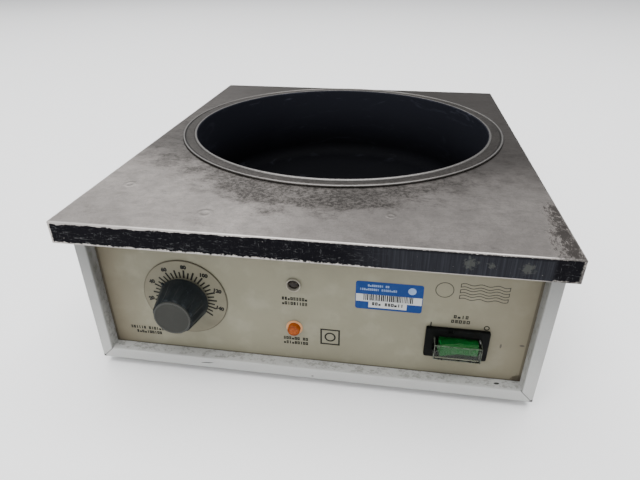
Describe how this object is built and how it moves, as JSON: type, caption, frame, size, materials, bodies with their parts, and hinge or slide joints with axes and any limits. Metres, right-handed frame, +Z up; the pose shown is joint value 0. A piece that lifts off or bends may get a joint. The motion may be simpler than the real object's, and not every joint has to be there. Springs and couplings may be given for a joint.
{
  "type": "heated laboratory flotation bath",
  "caption": "Bench-top heated bath: a wide round black bowl sunk in a flat metal lid over a white case with a recessed control panel.",
  "frame": {"origin": "centre of the bounding box at its bottom, which is on the bench under the centre of the lid", "axes": "+Z up, +Y from the control panel to the back, +X to the right of someone facing the control panel"},
  "size_m": [0.3044, 0.357, 0.126],
  "materials": {
    "worn_steel": "worn bare steel, black paint left on the edge",
    "white_enamel": "satin white paint",
    "cream_panel": "satin cream print",
    "bowl_black": "black anodised",
    "black_rubber": "matt",
    "black_plastic": "satin",
    "slate_plastic": "satin",
    "grey_plastic": "satin",
    "dial_metal": "lacquered cream",
    "zinc": "bright zinc",
    "copper": "copper, plain",
    "green_plastic": "gloss",
    "clear_plastic": "clear gloss",
    "smoke_lens": "gloss",
    "amber_lens": "gloss",
    "mineral_wool": "matt fibre",
    "mica": "satin sheet",
    "beige_plastic": "satin",
    "wire_sleeve": "satin"
  },
  "bodies": {
    "bath": {"lid_tray": "worn_steel", "case_body": "white_enamel", "base_cover": "white_enamel", "rear_panel": "white_enamel", "front_panel": "cream_panel", "foot_left_front": "black_rubber", "foot_left_rear": "black_rubber", "foot_right_front": "black_rubber", "foot_right_rear": "black_rubber", "foot_screw_left_front": "zinc", "foot_screw_left_rear": "zinc", "foot_screw_right_front": "zinc", "foot_screw_right_rear": "zinc", "lid_screw_left_front": "zinc", "lid_screw_left_rear": "zinc", "lid_screw_right_front": "zinc", "lid_screw_right_rear": "zinc", "rear_screw_left_low": "zinc", "rear_screw_left_high": "zinc", "rear_screw_right_low": "zinc", "rear_screw_right_high": "zinc", "bowl": "bowl_black", "rim_gasket": "black_rubber", "heater_disc": "mica", "pressure_plate": "zinc", "support_bracket": "zinc", "clamp_stud": "zinc", "clamp_nut": "zinc", "insulation_pad": "mineral_wool", "insulation_band": "mineral_wool", "control_thermostat": "beige_plastic", "control_capillary": "copper", "control_bulb": "copper", "dial_plate": "dial_metal", "overheat_lamp_bezel": "zinc", "overheat_lamp_lens": "smoke_lens", "heating_lamp_lens": "amber_lens", "heating_lamp_body": "black_plastic", "switch_frame": "black_plastic", "switch_hood": "clear_plastic", "switch_body": "black_plastic", "switch_lead": "wire_sleeve", "heater_lead": "wire_sleeve", "terminal_block": "beige_plastic", "power_inlet": "black_plastic", "inlet_screw_left": "zinc", "inlet_screw_right": "zinc", "fuse_holder_live": "black_plastic", "fuse_holder_neutral": "black_plastic", "overheat_thermostat": "beige_plastic", "overheat_capillary": "copper", "overheat_bulb": "copper", "reset_nut": "zinc"},
    "thermostat_knob": {"control_knob": "slate_plastic", "knob_cap": "grey_plastic", "thermostat_shaft": "zinc"},
    "rocker": {"power_rocker": "green_plastic"},
    "reset": {"reset_button": "wire_sleeve"},
    "fuse_cap_live": {"fuse_carrier_live": "black_plastic"},
    "fuse_cap_neutral": {"fuse_carrier_neutral": "black_plastic"}
  },
  "joints": [
    {"name": "thermostat_turn", "type": "hinge", "parent": "bath", "child": "thermostat_knob", "pos_m": [-0.0831, -0.16, 0.0587], "axis": [0, 1, 0], "range_deg": [-50, 174]},
    {"name": "rocker_tilt", "type": "hinge", "parent": "bath", "child": "rocker", "pos_m": [0.0966, -0.15, 0.042], "axis": [0, 0, 1], "range_deg": [-14, 0]},
    {"name": "reset_press", "type": "slide", "parent": "bath", "child": "reset", "axis": [0, -1, 0], "range_m": [0, 0.0025], "stiffness_N_per_m": 300},
    {"name": "fuse_cap_live_turn", "type": "hinge", "parent": "bath", "child": "fuse_cap_live", "pos_m": [0.062, 0.17, 0.04], "axis": [0, 1, 0], "range_deg": [0, 90]},
    {"name": "fuse_cap_neutral_turn", "type": "hinge", "parent": "bath", "child": "fuse_cap_neutral", "pos_m": [0.038, 0.17, 0.04], "axis": [0, 1, 0], "range_deg": [0, 90]}
  ]
}
